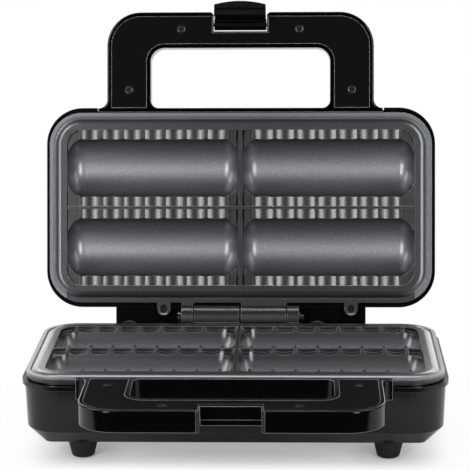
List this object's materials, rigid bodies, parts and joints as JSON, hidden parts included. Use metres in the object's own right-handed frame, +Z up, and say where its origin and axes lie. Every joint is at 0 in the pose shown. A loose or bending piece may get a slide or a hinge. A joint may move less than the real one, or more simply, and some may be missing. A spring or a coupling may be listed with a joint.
{
  "type": "hot dog toaster",
  "caption": "Clamshell electric toaster for sausage rolls: crimped long wells in both hinged halves, loop handles and a clip that holds them shut.",
  "frame": {"origin": "centre of the footprint of the bounding box, on the plane under the feet, with the lid open", "axes": "+Z up, -Y to the front where the handles are, +X to the right seen from the front; the hinge runs along X"},
  "size_m": [0.2752, 0.2862, 0.2791],
  "materials": {
    "plate_coating": "dark non-stick coating, satin with a fine sparkle",
    "housing_plastic": "black, glossy",
    "handle_plastic": "black, glossy",
    "cover_plastic": "black, satin",
    "latch_plastic": "black, glossy",
    "dark_steel": "blackened",
    "element_sheath": "heat-dulled",
    "reflector_sheet": "bright sheet",
    "inner_plastic": "pale, plain",
    "rubber": "black, dull",
    "red_lens": "clear red",
    "green_lens": "clear green",
    "lamp_glass": "clear"
  },
  "bodies": {
    "base": {"lower_cooking_plate": "plate_coating", "base_housing": "housing_plastic", "lower_handle": "handle_plastic", "lower_handle_cover": "cover_plastic", "lower_cover_screws": "dark_steel", "lower_plate_screws": "dark_steel", "hinge_pin": "dark_steel", "hinge_pin_clip": "dark_steel", "lower_heating_element": "element_sheath", "lower_heat_reflector": "reflector_sheet", "thermostat": "inner_plastic", "thermal_fuse": "element_sheath", "terminal_block": "inner_plastic", "cord_gland": "rubber", "front_left_foot": "rubber", "front_right_foot": "rubber", "rear_left_foot": "rubber", "rear_right_foot": "rubber"},
    "lid": {"upper_cooking_plate": "plate_coating", "lid_housing": "housing_plastic", "upper_handle": "handle_plastic", "upper_handle_cover": "cover_plastic", "upper_cover_screws": "dark_steel", "upper_plate_screws": "dark_steel", "latch_pin": "dark_steel", "upper_heating_element": "element_sheath", "upper_heat_reflector": "reflector_sheet", "power_lens": "red_lens", "power_lamp": "lamp_glass", "ready_lens": "green_lens", "ready_lamp": "lamp_glass"},
    "latch": {"latch_clip": "latch_plastic"}
  },
  "joints": [
    {"name": "lid_hinge", "type": "hinge", "parent": "base", "child": "lid", "pos_m": [0, 0.07289, 0.0596], "axis": [1, 0, 0], "range_deg": [0, 102.1]},
    {"name": "latch_pivot", "type": "hinge", "parent": "lid", "child": "latch", "pos_m": [0, 0.12323, 0.26102], "axis": [1, 0, 0], "range_deg": [-71.5, 30]}
  ]
}
